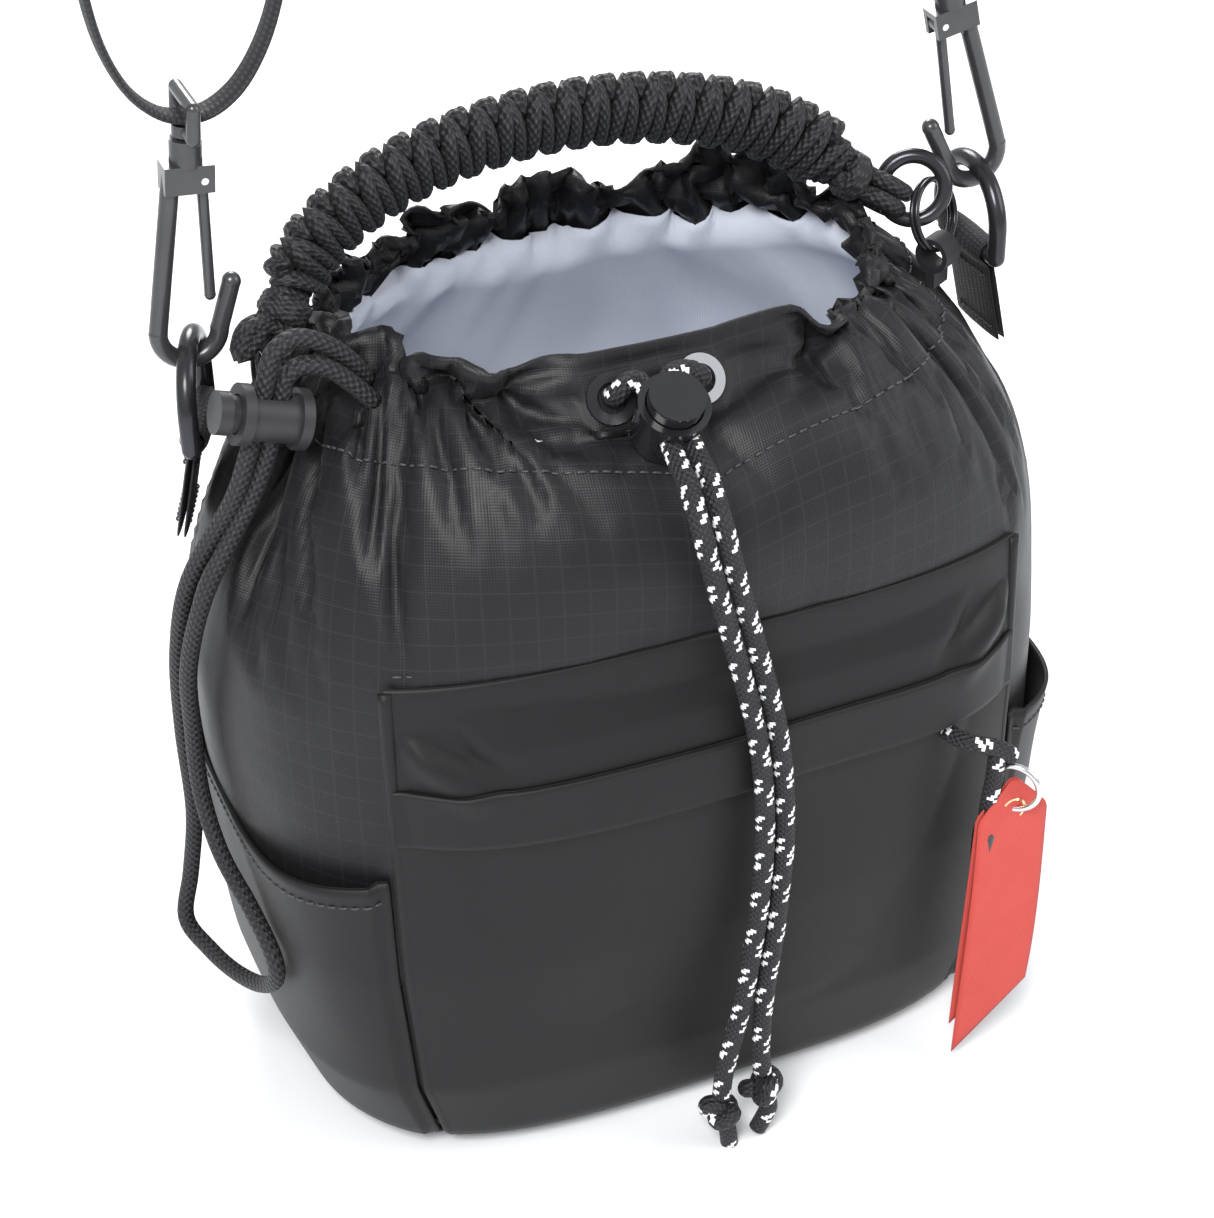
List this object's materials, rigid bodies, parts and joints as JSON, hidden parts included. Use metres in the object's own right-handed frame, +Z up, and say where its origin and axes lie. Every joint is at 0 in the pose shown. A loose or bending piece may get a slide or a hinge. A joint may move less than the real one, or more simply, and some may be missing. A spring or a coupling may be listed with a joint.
{
  "type": "drawstring rope bag",
  "caption": "Small drawstring bucket bag with a braided cord handle, zip front pocket, strap rings with snap hooks, and sprung cord locks.",
  "frame": {"origin": "middle of the flat base, on the surface that the bag stands on", "axes": "+Z up, -Y towards the front pocket, +X to the right when facing the pocket"},
  "size_m": [0.2131, 0.1448, 0.3298],
  "materials": {
    "ripstop": "ripstop nylon, matt",
    "twill": "smooth nylon twill, soft sheen",
    "lining": "pale plain weave",
    "webbing": "woven webbing",
    "paracord": "braided cord",
    "drawcord": "braided cord with reflective tracer",
    "ribbon": "woven satin ribbon",
    "zip_tape": "zip tape",
    "hook_metal": "black cast metal, satin",
    "ring_metal": "black nickel, semi gloss",
    "steel": "bright steel",
    "brass": "bright",
    "spring": "spring wire",
    "gloss_black": "gloss",
    "matt_black": "satin"
  },
  "bodies": {
    "bag": {"base_panel": "twill", "front_panel": "twill", "front_yoke": "ripstop", "back_panel": "ripstop", "side_panel_left": "ripstop", "side_panel_right": "ripstop", "casing_front": "ripstop", "casing_back": "ripstop", "lining": "lining", "pocket_upper": "twill", "pocket_flap": "twill", "pocket_lower": "twill", "side_pocket_left": "twill", "side_pocket_right": "twill", "zip_tape": "zip_tape", "eyelet_left": "ring_metal", "eyelet_right": "steel", "strap_tab_left": "webbing", "strap_tab_right": "webbing", "handle_tab_left": "webbing", "handle_tab_right": "webbing", "drawcord_channel": "drawcord", "drawcord_tail_left": "drawcord", "drawcord_tail_right": "drawcord", "drawcord_knot_left": "drawcord", "drawcord_knot_right": "drawcord", "side_lock_body": "matt_black", "side_lock_spring": "spring", "side_cord": "paracord"},
    "handle": {"handle": "paracord", "handle_oring": "ring_metal", "split_ring": "ring_metal"},
    "handle_ring": {"handle_dring": "ring_metal"},
    "strap_ring_left": {"strap_dring_left": "ring_metal"},
    "strap_ring_right": {"strap_dring_right": "ring_metal"},
    "hook_left": {"snap_hook_left": "hook_metal", "gate_pin_left": "steel"},
    "hook_right": {"snap_hook_right": "hook_metal", "gate_pin_right": "steel"},
    "hook_gate_left": {"gate_left": "hook_metal"},
    "hook_gate_right": {"gate_right": "hook_metal"},
    "swivel_left": {"strap_eye_left": "hook_metal", "strap_left": "webbing", "strap_slider_left": "matt_black"},
    "swivel_right": {"strap_eye_right": "hook_metal", "strap_right": "webbing", "strap_slider_right": "matt_black"},
    "zip_pull": {"zip_slider": "ring_metal", "zip_pull_cord": "drawcord"},
    "key_ring": {"pull_ring": "steel"},
    "ribbon_tag": {"tag": "ribbon", "tag_eyelet": "brass"},
    "cord_lock": {"cord_lock_barrel": "gloss_black", "cord_lock_spring": "spring"},
    "lock_button": {"cord_lock_button": "gloss_black"},
    "side_plunger": {"side_lock_plunger": "matt_black"}
  },
  "joints": [
    {"name": "handle_swing", "type": "hinge", "parent": "bag", "child": "handle", "pos_m": [0, -0.002, 0.183], "axis": [1, 0, 0], "range_deg": [0, 30]},
    {"name": "handle_ring_tilt", "type": "hinge", "parent": "bag", "child": "handle_ring", "pos_m": [-0.078, -0.002, 0.18], "axis": [0, 1, 0], "range_deg": [-4, 4]},
    {"name": "strap_ring_left_swing", "type": "hinge", "parent": "bag", "child": "strap_ring_left", "pos_m": [-0.093, 0.004, 0.176], "axis": [0.3746, 0.9272, 0], "range_deg": [-85, 0]},
    {"name": "strap_ring_right_swing", "type": "hinge", "parent": "bag", "child": "strap_ring_right", "pos_m": [0.093, 0.004, 0.181], "axis": [0, 1, 0], "range_deg": [0, 85]},
    {"name": "hook_left_swing", "type": "hinge", "parent": "strap_ring_left", "child": "hook_left", "pos_m": [-0.093, 0.004, 0.195], "axis": [0.3746, 0.9272, 0], "range_deg": [-55, 7]},
    {"name": "hook_right_swing", "type": "hinge", "parent": "strap_ring_right", "child": "hook_right", "pos_m": [0.093, 0.004, 0.2], "axis": [0, 1, 0], "range_deg": [-8, 55]},
    {"name": "gate_left_open", "type": "hinge", "parent": "hook_left", "child": "hook_gate_left", "pos_m": [-0.08663, 0.004, 0.23108], "axis": [0, 1, 0], "range_deg": [0, 12], "stiffness_Nm_per_rad": 0.03, "springref_deg": -17.19},
    {"name": "gate_right_open", "type": "hinge", "parent": "hook_right", "child": "hook_gate_right", "pos_m": [0.08228, 0.004, 0.23504], "axis": [0, -1, 0], "range_deg": [0, 12], "stiffness_Nm_per_rad": 0.03, "springref_deg": -17.19},
    {"name": "swivel_left_turn", "type": "hinge", "parent": "hook_left", "child": "swivel_left", "pos_m": [-0.093, 0.004, 0.195], "axis": [0.0872, 0, 0.9962], "continuous": true},
    {"name": "swivel_right_turn", "type": "hinge", "parent": "hook_right", "child": "swivel_right", "pos_m": [0.093, 0.004, 0.2], "axis": [-0.2079, 0, 0.9781], "continuous": true},
    {"name": "zip_slide", "type": "slide", "parent": "bag", "child": "zip_pull", "axis": [-1, 0, 0], "range_m": [0, 0.045]},
    {"name": "key_ring_swing", "type": "hinge", "parent": "zip_pull", "child": "key_ring", "pos_m": [0.069, -0.0725, 0.086], "axis": [-1, 0, 0], "range_deg": [0, 60]},
    {"name": "tag_swing", "type": "hinge", "parent": "key_ring", "child": "ribbon_tag", "pos_m": [0.069, -0.0725, 0.074], "axis": [-1, 0, 0], "range_deg": [0, 25]},
    {"name": "cord_lock_slide", "type": "slide", "parent": "bag", "child": "cord_lock", "axis": [0, -0.866, -0.5], "range_m": [0, 0.008]},
    {"name": "lock_button_press", "type": "slide", "parent": "cord_lock", "child": "lock_button", "axis": [0, 0.5, -0.866], "range_m": [0, 0.0014], "stiffness_N_per_m": 600, "springref_m": -0.002, "deforming": ["cord_lock_spring"]},
    {"name": "side_plunger_press", "type": "slide", "parent": "bag", "child": "side_plunger", "axis": [0.9511, 0, -0.309], "range_m": [0, 0.0016], "stiffness_N_per_m": 600, "springref_m": -0.002, "deforming": ["side_lock_spring"]}
  ]
}
